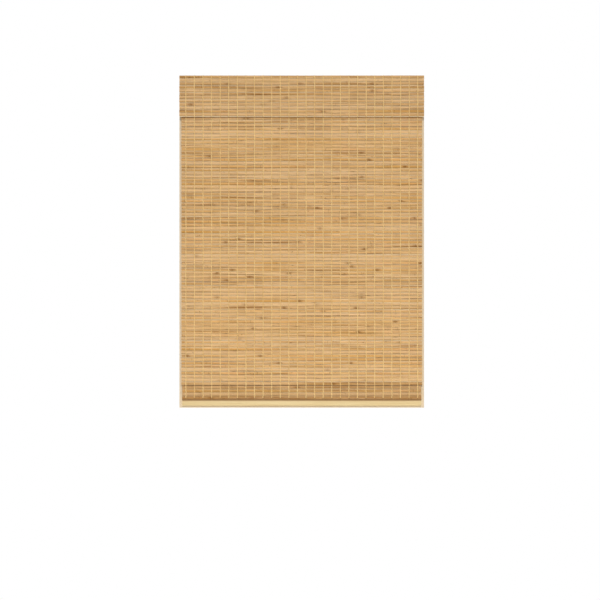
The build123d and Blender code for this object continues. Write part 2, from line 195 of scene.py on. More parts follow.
class Graph:
    """A node tree whose nodes all come from one method."""

    def __init__(self, tree):
        self.tree = tree

    def add(self, kind, settings=None, values=None):
        node = self.tree.nodes.new(kind)
        for name, value in (settings or {}).items():
            setattr(node, name, value)
        for key, value in (values or {}).items():
            socket = node.inputs[key]
            value = value.socket if isinstance(value, Number) else value
            if isinstance(value, bpy.types.NodeSocket):
                self.tree.links.new(value, socket)
            else:
                socket.default_value = value
        return node

    def maths(self, operation, *terms):
        node = self.add("ShaderNodeMath", {"operation": operation}, dict(enumerate(terms)))
        return Number(self, node.outputs[0])

    def vector(self, x=0.0, y=0.0, z=0.0):
        return self.add("ShaderNodeCombineXYZ", {}, {0: x, 1: y, 2: z}).outputs[0]

    def split(self, vector):
        node = self.add("ShaderNodeSeparateXYZ", {}, {0: vector})
        return [Number(self, socket) for socket in node.outputs]

    def noise(self, vector, detail, roughness=0.5):
        values = {"Vector": vector, "Scale": 1.0, "Detail": detail, "Roughness": roughness}
        return Number(self, self.add("ShaderNodeTexNoise", {}, values).outputs[0])

    def chance(self, x=0.0, y=0.0, z=0.0):
        """A random number from 0 to 1 that belongs to three given numbers."""
        node = self.add("ShaderNodeTexWhiteNoise", {}, {"Vector": self.vector(x, y, z)})
        return Number(self, node.outputs[0])


def knot_distance(x, tone):
    """How far along a slat its nearest joint ring is, in metres."""
    return abs((x / KNOT_SPACING + tone * KNOT_SHIFT).fraction() - 0.5) * KNOT_SPACING


# Finishes

TWIST_PITCH = 0.0011
BRAID_PITCH = 0.0042


def colour(red, green, blue):
    """An sRGB colour as the linear one that a shader takes."""
    linear = [
        part / 12.92 if part <= 0.04045 else ((part + 0.055) / 1.055) ** 2.4
        for part in (red, green, blue)
    ]
    return (*linear, 1.0)


class Finish(Graph):
    """A material with one Principled shader, and object coordinates to hand."""

    def __init__(self, name, **constants):
        self.material = bpy.data.materials.new(name)
        self.material.use_nodes = True
        super().__init__(self.material.node_tree)
        self.tree.nodes.clear()
        self.shader = self.add("ShaderNodeBsdfPrincipled")
        for key, value in constants.items():
            self.shader.inputs[key.replace("_", " ")].default_value = value
        output = self.add("ShaderNodeOutputMaterial")
        self.tree.links.new(self.shader.outputs[0], output.inputs[0])
        coordinates = self.add("ShaderNodeTexCoord")
        self.x, self.y, self.z = self.split(coordinates.outputs["Object"])

    def attribute(self, name):
        node = self.add("ShaderNodeAttribute", {"attribute_name": name})
        return Number(self, node.outputs["Fac"])

    def mix(self, factor, first, second, blend="MIX"):
        node = self.add(
            "ShaderNodeMix",
            {"data_type": "RGBA", "blend_type": blend},
            {0: factor, 6: first, 7: second},
        )
        return node.outputs[2]

    def shade(self, tint, factor):
        """A colour made lighter or darker by a number near 1."""
        return self.mix(1.0, tint, factor.socket, "MULTIPLY")

    def set(self, tint, roughness=None, height=None, depth=0.0, strength=0.0):
        """The finished material, with what changes over its surface."""
        self.tree.links.new(tint, self.shader.inputs["Base Color"])
        if roughness is not None:
            self.tree.links.new(roughness.socket, self.shader.inputs["Roughness"])
            values = {"Strength": strength, "Distance": depth, "Height": height}
            bump = self.add("ShaderNodeBump", {}, values)
            self.tree.links.new(bump.outputs[0], self.shader.inputs["Normal"])
        return self.material


def split_bamboo(name, tints, level, spread, painted_light_rows=()):
    """Split bamboo: long fibres, joint rings, a tone for each slat and bay, lower edges browner
    by wear and painted shade, and upper edges paler by a painted highlight.

    Spread is how much one row differs from the next. A painted-light row is painted browner as
    painted shade where the panel turns under or tucks, or paler as a painted highlight where its
    strength is below 0.
    """
    light, middle, dark, burnt = tints
    f = Finish(name, Specular_IOR_Level=0.10)
    tone, across = f.attribute("tone"), f.attribute("across")
    row = f.attribute("row")
    # What differs by slat and by bay, along the fibres, and slowly over the panel
    bay = (f.x / COLUMN + 0.5).floor()
    own = f.chance(tone, 1.0)
    cell = f.chance(bay, tone * 91.0, 2.0)
    small_cell = f.chance(bay, tone * 57.0, (across * 2.5).floor())
    streak = f.noise(f.vector(f.x * 3.5, across * 4.0, tone * 113.0), 5.0, 0.55)
    fibre = f.noise(f.vector(f.x * 24.0, across * 26.0, tone * 71.0), 4.0, 0.65)
    patch = f.noise(f.vector(f.x * 3.5, row * 0.24, 5.0), 3.0)
    cast = f.noise(f.vector(f.x * 9.0, row * 0.4, 19.0), 3.0)

    tint = f.mix(streak.ramp(0.35, 0.68), middle, light)
    tint = f.mix((own + (patch - 0.5) * 1.6).ramp(0.5, 1.3) * 0.8, tint, dark)
    tint = f.mix(cast.ramp(0.52, 0.72) * 0.22, tint, colour(0.86, 0.62, 0.42))
    tint = f.mix((1.0 - cast).ramp(0.52, 0.72) * 0.16, tint, colour(0.76, 0.63, 0.37))
    shade = 1.0 + (fibre - 0.5) * 0.34 + (cell - 0.5) * 0.14 + (patch - 0.5) * 0.30 + level
    shade = shade + (small_cell - 0.5) * 0.18 + (own - 0.5) * spread
    shade = shade - abs(f.x).ramp(0.36, 0.44) * 0.07
    tint = f.shade(tint, shade.clip(1.0, 1.4))
    tint = f.mix((1.0 - shade).clip(0.0, 0.6) * 1.3, tint, burnt)

    # Brown marks, joint rings and scars
    long_mark = f.noise(f.vector(f.x * 3.2, across * 2.2, tone * 211.0), 4.0, 0.6)
    short_mark = f.noise(f.vector(f.x * 75.0, across * 2.4, tone * 307.0), 3.0, 0.6)
    tint = f.mix(long_mark.ramp(0.55, 0.68) * 0.85, tint, burnt)
    tint = f.mix(short_mark.ramp(0.63, 0.72) * 0.9, tint, burnt)
    ring = knot_distance(f.x, tone)
    band = f.noise(f.vector(f.x * 300.0, across * 3.0, tone * 17.0), 2.0) * 0.002
    tint = f.mix((ring + band).ramp(0.0030, 0.0012) * (0.15 + own * 0.3), tint, burnt)
    joint = (f.x / KNOT_SPACING + tone * KNOT_SHIFT).floor()
    scarred = f.chance(joint, tone * 43.0, 4.0).ramp(0.72, 0.80)
    ragged = f.noise(f.vector(f.x * 55.0, across * 3.5, tone * 67.0), 3.0, 0.7) * 0.026
    scar = (ring * 0.55 + ragged + across.power(2.0) * 0.018).ramp(0.0235, 0.0120)
    tint = f.mix(scar * scarred * 0.75, tint, burnt)

    # Lower edges browner, partly by wear and brown skin and partly as painted shade, and upper
    # edges paler as a painted highlight
    wear = f.noise(f.vector(f.x * 3.4, tone * 53.0, 11.0), 3.0, 0.6)
    skin = f.chance(tone, 7.0).ramp(0.74, 0.86) * (0.45 + wear * 0.6)
    worn = f.maths("MAXIMUM", wear.ramp(0.46, 0.68) * 0.95, skin)
    # Painted shade along every slat's lower edge, deeper where the slat is worn or keeps its brown
    # skin
    lower = (-across).ramp(0.20, 0.44) * (0.05 + worn)
    pale = f.chance(tone, 9.0).ramp(0.66, 0.84)
    # Painted highlight along the upper edges
    upper = across.ramp(0.25, 0.45) * f.maths("MAXIMUM", (1.0 - wear).ramp(0.40, 0.62), pale)
    tint = f.mix((upper * 0.6 + pale * 0.45).clip(0.0, 1.0), tint, light)
    tint = f.mix((lower * 0.85).clip(0.0, 0.9), tint, burnt)
    # Painted shade on the listed rows, or a painted highlight where the strength is below 0
    for place, strength in painted_light_rows:
        painted_row_light = abs(row - place).ramp(0.6, 0.4) * abs(strength)
        tint = f.mix(painted_row_light, tint, burnt if strength > 0 else light)
    height = fibre * 0.5 + streak * 0.5 + ring.ramp(0.004, 0.001) * 0.8
    rough = 0.46 + fibre * 0.2 + lower * 0.1
    return f.set(tint, rough, height, 0.00025, 0.7)


def twisted_thread(name, tint, deep, painted_shade_below=None):
    """Twisted cotton thread, faded in places, with painted shade below a given height."""
    f = Finish(name, Sheen_Weight=0.15, Specular_IOR_Level=0.2)
    tone = f.attribute("tone")
    twist = ((f.z + f.x * 1.3) * (2 * math.pi / TWIST_PITCH)).sine() * 0.5 + 0.5
    fuzz = f.noise(f.vector(f.x * 900.0, f.y * 900.0, f.z * 900.0), 3.0, 0.7)
    wear = f.noise(f.vector(tone * 31.0, 0.0, f.z * 22.0), 2.0)
    faded = f.noise(f.vector(tone * 47.0, 5.0, f.z * 14.0), 2.0, 0.6).ramp(0.42, 0.62)
    mixed = f.mix(twist * 0.45 + fuzz * 0.25, f.shade(tint, 0.94 + wear * 0.22), deep)
    mixed = f.mix(faded * 0.38, mixed, BAMBOO_TINTS[1])
    # Painted shade: the thread browner below the given height, in line with the hem's shaded bottom
    # row
    if painted_shade_below is not None:
        mixed = f.mix(f.z.ramp(painted_shade_below + 0.001, painted_shade_below - 0.001) * 0.7, mixed, BAMBOO_TINTS[3])
    return f.set(mixed, 0.8 + fuzz * 0.12, twist * 0.7 + fuzz * 0.4, 0.00025, 0.8)


def plain_cloth(name, tint, deep, pitch, sheen):
    """Plain woven cloth, with warp and weft at a given pitch."""
    f = Finish(name, Sheen_Weight=sheen, Specular_IOR_Level=0.15)
    warp = (f.x * (2 * math.pi / pitch)).sine()
    weft = (f.z * (2 * math.pi / pitch)).sine()
    weave = warp * weft * 0.5 + 0.5
    slub = f.noise(f.vector(f.x * 60.0, 0.0, f.z * 900.0), 3.0, 0.6)
    slub_down = f.noise(f.vector(f.x * 900.0, 3.0, f.z * 60.0), 3.0, 0.6)
    cloud = f.noise(f.vector(f.x * 7.0, 0.0, f.z * 7.0), 3.0)
    level = 0.93 + cloud * 0.10 + (slub - 0.5) * 0.12 + (slub_down - 0.5) * 0.08
    mixed = f.mix((1.0 - weave) * 0.25, f.shade(tint, level), deep)
    return f.set(mixed, 0.82 + slub * 0.1, weave * 0.6 + slub * 0.5, 0.00015, 0.6)


def planed_wood(name, light, dark, rough, hem_shadow=None):
    """Wood with its grain along the piece, and a painted shadow on its front just below a cloth
    edge.
    """
    f = Finish(name, Specular_IOR_Level=0.4)
    bend = f.noise(f.vector(f.x * 1.5, f.y * 6.0, f.z * 6.0), 2.0) * 0.03
    rings = f.noise(f.vector(f.x * 2.5, (f.y + bend) * 120.0, (f.z + bend) * 120.0), 3.0, 0.6)
    pores = f.noise(f.vector(f.x * 70.0, f.y * 1800.0, f.z * 1800.0), 3.0, 0.7)
    cloud = f.noise(f.vector(f.x * 3.0, 0.0, f.z * 20.0), 2.0)
    tint = f.mix(rings.ramp(0.4, 0.68) * 0.7, light, dark)
    tint = f.shade(tint, 0.97 + (pores - 0.5) * 0.14 + (cloud - 0.5) * 0.10)
    # Painted shadow: a browner band on the front just below the hem's edge
    if hem_shadow is not None:
        front, edge = hem_shadow
        line = f.z.ramp(edge - 0.0075, edge - 0.0015) * f.z.ramp(edge + 0.004, edge + 0.001)
        tint = f.mix(line * f.y.ramp(front + 0.002, front + 0.0005) * 0.75, tint, BAMBOO_TINTS[3])
    return f.set(tint, rough + pores * 0.12, rings * 0.4 + pores * 0.5, 0.00012, 0.5)


def coated_metal(name, tint, rough, orange_peel):
    """Powder-coated sheet metal, with a fine orange peel."""
    f = Finish(name, Specular_IOR_Level=0.5)
    peel = f.noise(f.vector(f.x * 900.0, f.y * 900.0, f.z * 900.0), 3.0, 0.5)
    cloud = f.noise(f.vector(f.x * 9.0, f.y * 30.0, f.z * 30.0), 3.0)
    scuff = f.noise(f.vector(f.x * 30.0, f.y * 700.0, f.z * 700.0), 4.0, 0.7)
    tint = f.shade(tint, 0.97 + cloud * 0.05)
    return f.set(tint, rough + (scuff - 0.5) * 0.2, peel, orange_peel, 0.4)


def bare_steel(name, tint, rough, lines):
    """Bright metal with drawing or rolling lines along X."""
    f = Finish(name, Metallic=1.0)
    drawn = f.noise(f.vector(f.x * lines, f.y * 2600.0, f.z * 2600.0), 3.0, 0.6)
    bloom = f.noise(f.vector(f.x * 120.0, f.y * 120.0, f.z * 120.0), 4.0, 0.6)
    tint = f.shade(tint, 0.9 + bloom * 0.2)
    return f.set(tint, rough + (drawn - 0.5) * 0.2 + (bloom - 0.5) * 0.15, drawn, 0.00005, 0.4)


def moulded_plastic(name, tint, rough):
    """Moulded plastic with a fine spark texture and faint flow marks."""
    f = Finish(name, Specular_IOR_Level=0.45)
    spark = f.noise(f.vector(f.x * 1500.0, f.y * 1500.0, f.z * 1500.0), 2.0, 0.5)
    flow = f.noise(f.vector(f.x * 60.0, f.y * 60.0, f.z * 60.0), 3.0)
    tint = f.shade(tint, 0.96 + flow * 0.07)
    return f.set(tint, rough + (flow - 0.5) * 0.15, spark, 0.00006, 0.35)


def looped_tape(name, tint, deep):
    """Hook-and-loop tape: a nap of tiny loops."""
    f = Finish(name, Sheen_Weight=0.4, Specular_IOR_Level=0.1)
    nap = f.noise(f.vector(f.x * 1400.0, f.y * 1400.0, f.z * 1400.0), 4.0, 0.8)
    cells = (f.x * 3400.0).sine() * (f.z * 3400.0).sine()
    return f.set(f.mix(nap, deep, tint), 0.9 + nap * 0.05, nap + cells * 0.2, 0.0004, 0.9)


def braided_cord(name, tint, deep):
    """Braided polyester cord: two crossing spirals along the cord."""
    f = Finish(name, Sheen_Weight=0.2, Specular_IOR_Level=0.3)
    along = f.attribute("along") * (2 * math.pi / BRAID_PITCH)
    around = f.attribute("around") * (4 * math.pi)
    braid = (along + around).sine() * (along - around).sine() * 0.5 + 0.5
    fuzz = f.noise(f.vector(f.x * 1200.0, f.y * 1200.0, f.z * 1200.0), 2.0)
    mixed = f.mix((1.0 - braid) * 0.5 + fuzz * 0.1, tint, deep)
    return f.set(mixed, 0.6 + braid * 0.2, braid * 0.8 + fuzz * 0.3, 0.0002, 0.8)


BAMBOO_TINTS = (
    colour(0.957, 0.80, 0.60),
    colour(0.865, 0.664, 0.392),
    colour(0.77, 0.56, 0.26),
    colour(0.51, 0.298, 0.02),
)
REED_TINTS = (
    colour(1.0, 0.915, 0.755),
    colour(0.94, 0.785, 0.53),
    colour(0.82, 0.635, 0.35),
    colour(0.54, 0.34, 0.09),
)
SLAT_SPREAD = 0.24
REED_SPREAD = 0.45


def panel_finish(panel, level, slat_painted_light_rows, reed_painted_light_rows):
    """The finishes of one panel's slats and reeds."""
    return (
        split_bamboo(f"{panel}_slat", BAMBOO_TINTS, level, SLAT_SPREAD, slat_painted_light_rows),
        split_bamboo(f"{panel}_reed", REED_TINTS, level, REED_SPREAD, reed_painted_light_rows),
    )


# Painted-light rows: painted shade on the mat's last row and the hem's rows at the tuck and where
# the hem turns under, and a painted highlight on the valance's lowest row
panel_finishes = {
    "valance": panel_finish("valance", -0.06, [(VALANCE_END, -0.3)], [(VALANCE_END, -0.9)]),
    "mat": panel_finish("mat", 0.0, [(MAT_END, 0.08)], [(MAT_END, 0.7)]),
    "hem": panel_finish(
        "hem",
        -0.16,
        [(HEM_FIRST, 0.12), (HEM_END - 1, 0.14), (HEM_END, 0.22)],
        [(HEM_END - 1, 0.3), (HEM_END, 0.7)],
    ),
}
THREAD_TINTS = (colour(1.0, 0.87, 0.61), colour(0.90, 0.74, 0.47))
thread_finish = twisted_thread("warp_cotton", *THREAD_TINTS)
# The hem's threads carry painted shade near their lower ends
hem_thread_finish = twisted_thread("hem_cotton", *THREAD_TINTS, painted_shade_below=hem_low.z + 0.004)
liner_finish = plain_cloth(
    "liner_cream", colour(0.945, 0.865, 0.735), colour(0.87, 0.775, 0.63), 0.0007, 0.1
)
# The rail's finish has a painted shadow just below the hem's edge
rail_finish = planed_wood(
    "rail_wood",
    colour(0.955, 0.855, 0.635),
    colour(0.88, 0.75, 0.51),
    0.38,
    hem_shadow=(rail_front, hem_edge),
)
batten_finish = planed_wood("batten_pine", colour(0.86, 0.74, 0.54), colour(0.70, 0.54, 0.34), 0.6)
paint_finish = coated_metal("headrail_white", colour(0.91, 0.90, 0.87), 0.42, 0.00006)
zinc_finish = bare_steel("bracket_zinc", colour(0.76, 0.77, 0.78), 0.36, 300.0)
pin_finish = bare_steel("pin_steel", colour(0.74, 0.74, 0.75), 0.26, 2600.0)
spring_finish = bare_steel("spring_blued", colour(0.42, 0.46, 0.55), 0.3, 60.0)
white_finish = moulded_plastic("moulded_white", colour(0.91, 0.90, 0.87), 0.48)
drum_finish = moulded_plastic("drum_acetal", colour(0.86, 0.85, 0.80), 0.34)
ring_finish = moulded_plastic("ring_clear", colour(0.93, 0.93, 0.90), 0.18)
tape_finish = looped_tape("tape_loops", colour(0.92, 0.91, 0.88), colour(0.70, 0.69, 0.66))
cord_finish = braided_cord("cord_braid", colour(0.95, 0.93, 0.87), colour(0.74, 0.71, 0.64))
stitch_finish = twisted_thread("stitching", colour(0.95, 0.91, 0.82), colour(0.80, 0.74, 0.62))


# Geometry trees for what repeats

THREAD_POINTS_PER_ROW = 6
THREAD_SIDES = 6
STITCH_PITCH = 0.004
STITCH_LENGTH = 0.0026
STITCH_RADIUS = 0.00025
STITCH_POINTS = 5
STITCH_SIDES = 5


class Pattern(Graph):
    """A Geometry Nodes tree with named inputs, run on an empty mesh to make one piece."""

    kinds = {int: "NodeSocketInt", float: "NodeSocketFloat"}

    def __init__(self, name, inputs):
        tree = bpy.data.node_groups.new(name, "GeometryNodeTree")
        super().__init__(tree)
        tree.interface.new_socket("Geometry", in_out="INPUT", socket_type="NodeSocketGeometry")
        tree.interface.new_socket("Geometry", in_out="OUTPUT", socket_type="NodeSocketGeometry")
        self.identifiers = {}
        for label, value in inputs.items():
            kind = value if isinstance(value, str) else self.kinds[type(value)]
            socket = tree.interface.new_socket(label, in_out="INPUT", socket_type=kind)
            if not isinstance(value, str):
                socket.default_value = value
            self.identifiers[label] = socket.identifier
        self.source = self.add("NodeGroupInput")
        self.sink = self.add("NodeGroupOutput")

    def given(self, label):
        return Number(self, self.source.outputs[label])

    def store(self, geometry, name, value):
        node = self.add(
            "GeometryNodeStoreNamedAttribute",
            {"data_type": "FLOAT", "domain": "POINT"},
            {"Geometry": geometry, "Name": name, "Value": value},
        )
        return node.outputs[0]

    def stored(self, name):
        node = self.add("GeometryNodeInputNamedAttribute", {"data_type": "FLOAT"}, {"Name": name})
        return Number(self, node.outputs[0])

    def position(self):
        return self.split(self.add("GeometryNodeInputPosition").outputs[0])

    def finish(self, geometry):
        """Every tree ends with real geometry in its own material."""
        real = self.add("GeometryNodeRealizeInstances", {}, {0: geometry}).outputs[0]
        values = {"Geometry": real, "Material": self.source.outputs["Finish"]}
        made = self.add("GeometryNodeSetMaterial", {}, values).outputs[0]
        self.tree.links.new(made, self.sink.inputs[0])

    def make(self, name, **values):
        """Runs the tree with these inputs and returns the result as a plain mesh object."""
        host = placed(name + "_host", bpy.data.meshes.new(name + "_host"))
        modifier = host.modifiers.new("pattern", "NODES")
        modifier.node_group = self.tree
        for label, value in values.items():
            modifier[self.identifiers[label.replace("_", " ")]] = value
        bpy.context.view_layer.update()
        evaluated = host.evaluated_get(bpy.context.evaluated_depsgraph_get())
        mesh = bpy.data.meshes.new_from_object(evaluated)
        mesh.name = name
        bpy.data.objects.remove(host)
        return placed(name, mesh)


def row_pattern():
    """Slats or reeds: one blank repeated down the panel, each with its own bend, width and tilt.

    The inputs start at what a slat takes.
    """
    g = Pattern(
        "woven_rows",
        {
            "Blank": "NodeSocketObject",
            "Finish": "NodeSocketMaterial",
            "Rows": 10,
            "First row": 0,
            "Row pitch": ROW,
            "Top": 0.0,
            "Back": 0.0,
            "Height": SLAT,
            "Waviness": 0.0006,
            "Width change": 0.07,
            "Tilt": 0.10,
            "Knot swelling": 0.0002,
            "Trim": 0.0025,
            "Seed": 1,
        },
    )
    pitch, top = g.given("Row pitch"), g.given("Top")
    line = g.add(
        "GeometryNodeMeshLine",
        {"mode": "OFFSET"},
        {
            "Count": g.given("Rows"),
            "Start Location": g.vector(0.0, g.given("Back"), top),
            "Offset": g.vector(0.0, 0.0, -pitch),
        },
    )
    row = Number(g, g.add("GeometryNodeInputIndex").outputs[0]) + g.given("First row")
    tone = g.add("FunctionNodeRandomValue", {}, {"ID": row, "Seed": g.given("Seed")})
    points = g.store(line.outputs[0], "tone", tone.outputs[1])
    points = g.store(points, "row", row)
    points = g.store(points, "middle", g.position()[2])
    blank = g.add("GeometryNodeObjectInfo", {}, {"Object": g.source.outputs["Blank"]})
    rows = g.add(
        "GeometryNodeInstanceOnPoints",
        {},
        {"Points": points, "Instance": blank.outputs["Geometry"]},
    )
    real = g.add("GeometryNodeRealizeInstances", {}, {0: rows.outputs[0]}).outputs[0]
    x, y, z = g.position()
    tone, middle = g.stored("tone"), g.stored("middle")
    up = z - middle
    real = g.store(real, "across", up / g.given("Height"))
    bow = g.noise(g.vector(x * 2.2, tone * 97.0, 0.0), 1.0) - 0.5
    kink = g.noise(g.vector(x * 16.0, tone * 57.0, 3.0), 2.0) - 0.5
    swell = g.noise(g.vector(x * 11.0, tone * 31.0, 7.0), 2.0) - 0.5
    lean = (g.chance(tone, 3.0) - 0.5) * g.given("Tilt")
    twist = (g.noise(g.vector(x * 7.0, tone * 41.0, 9.0), 1.0) - 0.5) * g.given("Tilt")
    knot = knot_distance(x, tone).ramp(0.006, 0.001) * g.given("Knot swelling")
    rise = bow * g.given("Waviness") * 1.6 + kink * g.given("Waviness") * 0.7
    rise = rise + up * swell * g.given("Width change") * 2.0
    out = (lean + twist) * up - knot * (up / g.given("Height") * 2.0).power(2.0).clip(0.0, 1.0)
    along = x * (g.chance(tone, 5.0) - 0.5) * g.given("Trim")
    moved = g.add(
        "GeometryNodeSetPosition", {}, {"Geometry": real, "Offset": g.vector(along, out, rise)}
    )
    g.finish(moved.outputs[0])
    return g


def warp_pattern():
    """Columns of two warp threads that pass before and behind each row and cross between rows."""
    g = Pattern(
        "warp_columns",
        {
            "Finish": "NodeSocketMaterial",
            "Columns": COLUMNS,
            "Column pitch": COLUMN,
            "Rows": 10,
            "Row pitch": ROW,
            "Top": 0.0,
            "First row": 0,
            "Middle": 0.0,
            "Swing": THREAD_SWING,
            "Crossing": THREAD_CROSSING,
            "Radius": THREAD_RADIUS,
            "Flatness": THREAD_FLATNESS,
            "Wander": THREAD_WANDER,
            "Seed": 3,
        },
    )
    rows, pitch, top = g.given("Rows"), g.given("Row pitch"), g.given("Top")
    line = g.add(
        "GeometryNodeCurvePrimitiveLine",
        {},
        {"Start": g.vector(0.0, 0.0, top), "End": g.vector(0.0, 0.0, top - rows * pitch)},
    )
    dense = g.add(
        "GeometryNodeResampleCurve",
        {},
        {"Curve": line.outputs[0], "Count": rows * THREAD_POINTS_PER_ROW + 1},
    )
    x, _, z = g.position()
    turn = ((top - z) / pitch + g.given("First row")) * math.pi
    profile = g.add(
        "GeometryNodeCurvePrimitiveCircle",
        {},
        {"Resolution": THREAD_SIDES, "Radius": g.given("Radius")},
    )
    strands = g.add("GeometryNodeJoinGeometry")
    for side in (1.0, -1.0):
        swing = (turn.sine() * 2.2).clip(-1.0, 1.0) * g.given("Swing") * side
        moved = g.add(
            "GeometryNodeSetPosition",
            {},
            {"Geometry": dense.outputs[0], "Offset": g.vector(0.0, swing, 0.0)},
        )
        tube = g.add(
            "GeometryNodeCurveToMesh",
            {},
            {"Curve": moved.outputs[0], "Profile Curve": profile.outputs[0], "Fill Caps": True},
        )
        spread = x * (g.given("Flatness") - 1.0) + turn.cosine() * g.given("Crossing") * side
        flat = g.add(
            "GeometryNodeSetPosition",
            {},
            {"Geometry": tube.outputs[0], "Offset": g.vector(spread, 0.0, 0.0)},
        )
        g.tree.links.new(flat.outputs[0], strands.inputs[0])
    smooth = g.add("GeometryNodeSetShadeSmooth", {}, {"Geometry": strands.outputs[0]})
    pitch_across = g.given("Column pitch")
    start = (g.given("Columns") - 1.0) * pitch_across * -0.5
    columns = g.add(
        "GeometryNodeMeshLine",
        {"mode": "OFFSET"},
        {
            "Count": g.given("Columns"),
            "Start Location": g.vector(start, g.given("Middle"), 0.0),
            "Offset": g.vector(pitch_across, 0.0, 0.0),
        },
    )
    index = g.add("GeometryNodeInputIndex").outputs[0]
    tone = g.add("FunctionNodeRandomValue", {}, {"ID": index, "Seed": g.given("Seed")})
    points = g.store(columns.outputs[0], "tone", tone.outputs[1])
    placed = g.add(
        "GeometryNodeInstanceOnPoints", {}, {"Points": points, "Instance": smooth.outputs[0]}
    )
    real = g.add("GeometryNodeRealizeInstances", {}, {0: placed.outputs[0]}).outputs[0]
    z = g.position()[2]
    sway = g.noise(g.vector(g.stored("tone") * 77.0, 0.0, z * 9.0), 2.0) - 0.5
    bent = g.add(
        "GeometryNodeSetPosition",
        {},
        {"Geometry": real, "Offset": g.vector(sway * g.given("Wander") * 2.0, 0.0, 0.0)},
    )
    g.finish(bent.outputs[0])
    return g


def stitch_pattern():
    """A row of short stitches down or along a hem, each pulled into the cloth at its ends."""
    g = Pattern(
        "stitch_row",
        {
            "Finish": "NodeSocketMaterial",
            "Stitches": 10,
            "Stitch pitch": STITCH_PITCH,
            "Length": STITCH_LENGTH,
            "Radius": STITCH_RADIUS,
            "Sideways": 0.0,
            "Downwards": 1.0,
            "Across": 0.0,
            "Face": 0.0,
            "Top": 0.0,
        },
    )
    half, radius = g.given("Length") * 0.5, g.given("Radius")
    sideways, downwards = g.given("Sideways"), g.given("Downwards")
    arc = g.add(
        "GeometryNodeCurvePrimitiveLine",
        {},
        {
            "Start": g.vector(-half * sideways, 0.0, half * downwards),
            "End": g.vector(half * sideways, 0.0, -half * downwards),
        },
    )
    values = {"Curve": arc.outputs[0], "Count": STITCH_POINTS}
    dense = g.add("GeometryNodeResampleCurve", {}, values)
    x, _, z = g.position()
    pull = ((x * sideways + z * downwards) / half).power(2.0) * radius * -1.5
    curved = g.add(
        "GeometryNodeSetPosition",
        {},
        {"Geometry": dense.outputs[0], "Offset": g.vector(0.0, pull, 0.0)},
    )
    values = {"Resolution": STITCH_SIDES, "Radius": radius}
    profile = g.add("GeometryNodeCurvePrimitiveCircle", {}, values)
    stitch = g.add(
        "GeometryNodeCurveToMesh",
        {},
        {"Curve": curved.outputs[0], "Profile Curve": profile.outputs[0], "Fill Caps": True},
    )
    line = g.add(
        "GeometryNodeMeshLine",
        {"mode": "OFFSET"},
        {
            "Count": g.given("Stitches"),
            "Start Location": g.vector(g.given("Across"), g.given("Face"), g.given("Top")),
            "Offset": g.vector(
                g.given("Stitch pitch") * sideways, 0.0, g.given("Stitch pitch") * -downwards
            ),
        },
    )
    placed = g.add(
        "GeometryNodeInstanceOnPoints",
        {},
        {"Points": line.outputs[0], "Instance": stitch.outputs[0]},
    )
    g.finish(placed.outputs[0])
    return g


rows_of = row_pattern()
columns_of = warp_pattern()
stitches_of = stitch_pattern()


# Meshes made in code


def piece_from(name, points, faces, finish, smooth=False):
    """A piece from points and faces, with its faces turned outwards."""
    mesh = bpy.data.meshes.new(name)
    mesh.from_pydata(points, [], faces)
    shape = bmesh.new()
    shape.from_mesh(mesh)
    bmesh.ops.recalc_face_normals(shape, faces=shape.faces)
    shape.to_mesh(mesh)
    shape.free()
    mesh.polygons.foreach_set("use_smooth", [smooth] * len(mesh.polygons))
    if finish:
        mesh.materials.append(finish)
    return placed(name, mesh)


def skin(outlines, around, closed=False):
    """Faces over a run of outlines of as many points each, with shut ends or as one closed hoop."""
    faces = []
    for i in range(outlines if closed else outlines - 1):
        here, there = i * around, (i + 1) % outlines * around
        for j in range(around):
            k = (j + 1) % around
            faces.append((here + j, here + k, there + k, there + j))
    if not closed:
        last = (outlines - 1) * around
        faces += [tuple(range(around)), tuple(range(last, last + around))]
    return faces


def blank(name, width, height, edge, crown):
    """One straight slat or reed: a flat back, soft edges and a crowned front."""
    half = height / 2
    soft = edge * 0.3
    section = [
        (0.0, half - soft),
        (0.0, -half + soft),
        (-soft, -half),
        (-edge, -half),
        (-edge - crown * 0.75, -half * 0.5),
        (-edge - crown, 0.0),
        (-edge - crown * 0.75, half * 0.5),
        (-edge, half),
        (-soft, half),
    ]
    stations = round(width / COLUMN) * STATIONS_PER_BAY
    points = []
    for i in range(stations + 1):
        x = width * (i / stations - 0.5)
        points += [(x, y, z) for y, z in section]
    made = piece_from(name, points, skin(stations + 1, len(section)), None)
    bpy.context.scene.collection.objects.unlink(made)
    return made


def round_bar(route, radius, sides, closed=False):
    """Points and faces of a round bar along a list of points, open with ends or a closed hoop."""
    route = [Vector(p) for p in route]
    last = len(route) - 1
    points, along, around = [], [], []
    side = Vector((0.0, 0.0, 1.0)) if closed else Vector((0.0, 1.0, 0.0))
    run = 0.0
    for i, place in enumerate(route):
        before = route[i - 1] if closed or i else place
        after = route[(i + 1) % len(route)] if closed or i < last else place
        ahead = (after - before).normalized()
        side = (side - ahead * side.dot(ahead)).normalized()
        third = ahead.cross(side)
        run += (place - route[i - 1]).length if i else 0.0
        for j in range(sides):
            angle = 2 * math.pi * j / sides
            points.append(place + (side * math.cos(angle) + third * math.sin(angle)) * radius)
            along.append(run)
            around.append(j / sides)
    return points, skin(len(route), sides, closed), along, around


def tube(name, route, radius, finish, sides=10):
    """A round cord with its own lengthwise and round-the-cord numbers."""
    points, faces, along, around = round_bar(route, radius, sides)
    piece = piece_from(name, points, faces, finish, smooth=True)
    for label, values in (("along", along), ("around", around)):
        layer = piece.data.attributes.new(label, "FLOAT", "POINT")
        layer.data.foreach_set("value", values)
    return piece


# Woven panel

REED_FORWARD = 0.0003
REED_LOOK = {"Waviness": 0.0007, "Width_change": 0.25, "Tilt": 0.3, "Trim": 0.004, "Seed": 7}

